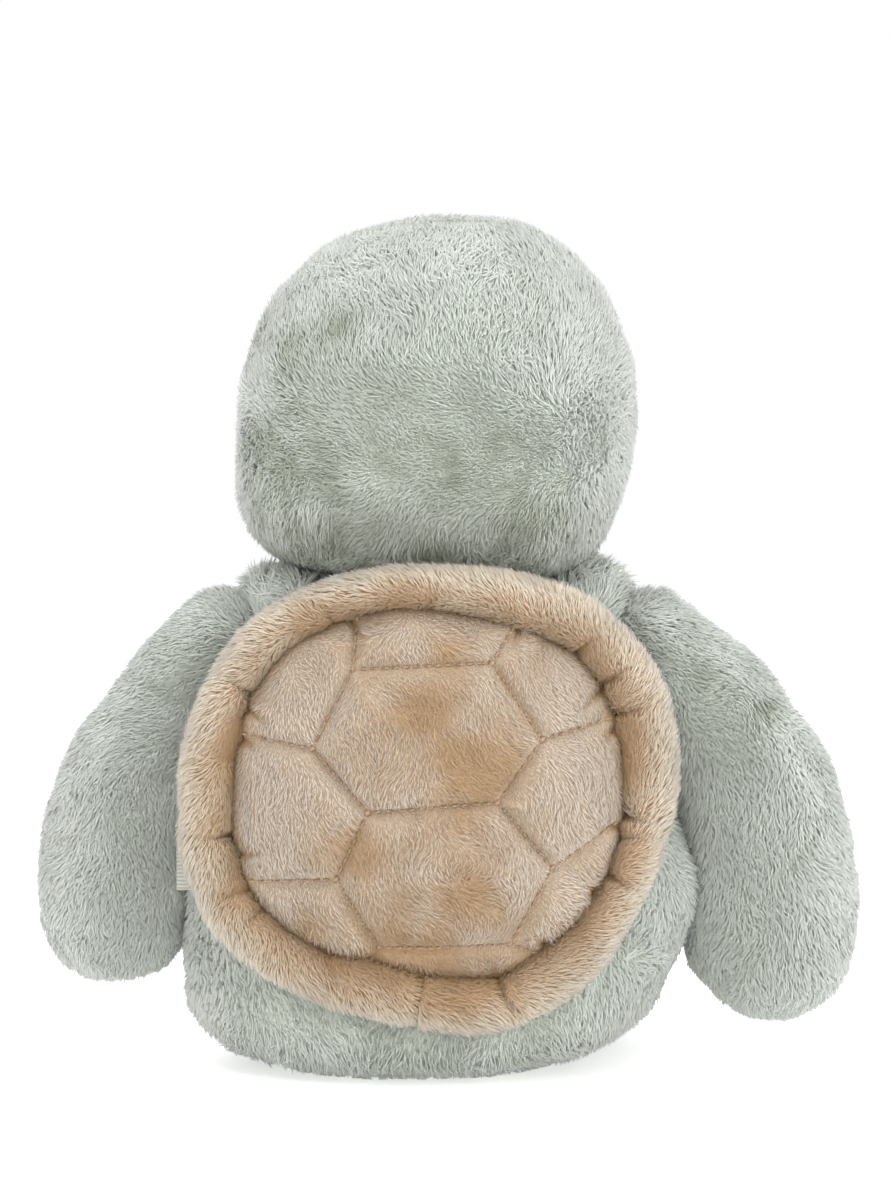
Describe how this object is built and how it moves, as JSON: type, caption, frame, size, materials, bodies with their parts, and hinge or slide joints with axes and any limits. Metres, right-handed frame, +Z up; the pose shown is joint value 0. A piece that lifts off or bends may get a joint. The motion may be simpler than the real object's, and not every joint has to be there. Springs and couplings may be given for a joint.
{
  "type": "plush turtle",
  "caption": "Seated plush turtle in soft sage fur, with a quilted tan shell cushion set inside a stuffed rolled rim",
  "frame": {"origin": "middle of the toy's bounding box seen from above, on the plane that it sits on", "axes": "+Z up, the turtle faces -Y and carries its shell on the +Y side, +X is the turtle's left"},
  "size_m": [0.2574, 0.1863, 0.271],
  "materials": {
    "sage_fur": "long brushed plush fur, matt",
    "tan_plush": "short dense plush, matt",
    "sand_plush": "short dense plush, brushed both ways",
    "wadding": "polyester hollow-fibre filling",
    "pellets": "plastic beads in a linen bag",
    "brown_thread": "thick sewing thread",
    "sage_thread": "sewing thread",
    "black_thread": "embroidery thread",
    "eye_plastic": "glossy domed plastic",
    "washer_plastic": "plain moulded plastic",
    "label_ribbon": "ribbed woven ribbon, blank"
  },
  "bodies": {
    "body": {"body_skin": "sage_fur", "body_stuffing": "wadding", "pellet_bag": "pellets", "belly_panel": "sand_plush", "shell_dome_cover": "sand_plush", "shell_dome_stuffing": "wadding", "shell_backing": "tan_plush", "shell_rim_cover": "tan_plush", "shell_rim_stuffing": "wadding", "side_label": "label_ribbon", "hip_seam_left": "sage_thread", "hip_seam_right": "sage_thread", "quilt_thread_upper": "brown_thread", "quilt_thread_lower": "brown_thread", "quilt_thread_ray_1": "brown_thread", "quilt_thread_ray_2": "brown_thread", "quilt_thread_ray_3": "brown_thread", "quilt_thread_ray_4": "brown_thread", "quilt_thread_ray_5": "brown_thread", "quilt_thread_ray_6": "brown_thread", "quilt_thread_ray_7": "brown_thread", "quilt_thread_ray_8": "brown_thread"},
    "neck": {"neck_seam": "sage_thread"},
    "head": {"head_skin": "sage_fur", "head_stuffing": "wadding", "eye_left": "eye_plastic", "eye_right": "eye_plastic", "eye_washer_left": "washer_plastic", "eye_washer_right": "washer_plastic", "mouth_stitch": "black_thread", "nostril_left": "black_thread", "nostril_right": "black_thread"},
    "shoulder_left": {"shoulder_seam_left": "sage_thread"},
    "arm_left": {"arm_left_skin": "sage_fur", "arm_left_stuffing": "wadding"},
    "leg_left": {"leg_left_skin": "sage_fur", "leg_left_stuffing": "wadding"},
    "shoulder_right": {"shoulder_seam_right": "sage_thread"},
    "arm_right": {"arm_right_skin": "sage_fur", "arm_right_stuffing": "wadding"},
    "leg_right": {"leg_right_skin": "sage_fur", "leg_right_stuffing": "wadding"}
  },
  "joints": [
    {"name": "head_turn", "type": "hinge", "parent": "body", "child": "neck", "pos_m": [0, 0.018, 0.176], "axis": [0, 0, 1], "range_deg": [-45, 45], "stiffness_Nm_per_rad": 0.15},
    {"name": "head_nod", "type": "hinge", "parent": "neck", "child": "head", "pos_m": [0, 0.018, 0.176], "axis": [1, 0, 0], "range_deg": [-15, 20], "stiffness_Nm_per_rad": 0.5},
    {"name": "arm_left_swing", "type": "hinge", "parent": "body", "child": "shoulder_left", "pos_m": [0.0715, 0.02, 0.134], "axis": [-1, 0, 0], "range_deg": [-15, 90], "stiffness_Nm_per_rad": 0.03},
    {"name": "arm_left_raise", "type": "hinge", "parent": "shoulder_left", "child": "arm_left", "pos_m": [0.0715, 0.02, 0.134], "axis": [0, -1, 0], "range_deg": [0, 80], "stiffness_Nm_per_rad": 0.03},
    {"name": "leg_left_swing", "type": "hinge", "parent": "body", "child": "leg_left", "pos_m": [0.038, -0.022, 0.023], "axis": [-1, 0, 0], "range_deg": [-55, 20], "stiffness_Nm_per_rad": 0.05},
    {"name": "arm_right_swing", "type": "hinge", "parent": "body", "child": "shoulder_right", "pos_m": [-0.0715, 0.02, 0.134], "axis": [-1, 0, 0], "range_deg": [-15, 90], "stiffness_Nm_per_rad": 0.03},
    {"name": "arm_right_raise", "type": "hinge", "parent": "shoulder_right", "child": "arm_right", "pos_m": [-0.0715, 0.02, 0.134], "axis": [0, 1, 0], "range_deg": [0, 80], "stiffness_Nm_per_rad": 0.03},
    {"name": "leg_right_swing", "type": "hinge", "parent": "body", "child": "leg_right", "pos_m": [-0.038, -0.022, 0.023], "axis": [-1, 0, 0], "range_deg": [-55, 20], "stiffness_Nm_per_rad": 0.05}
  ]
}
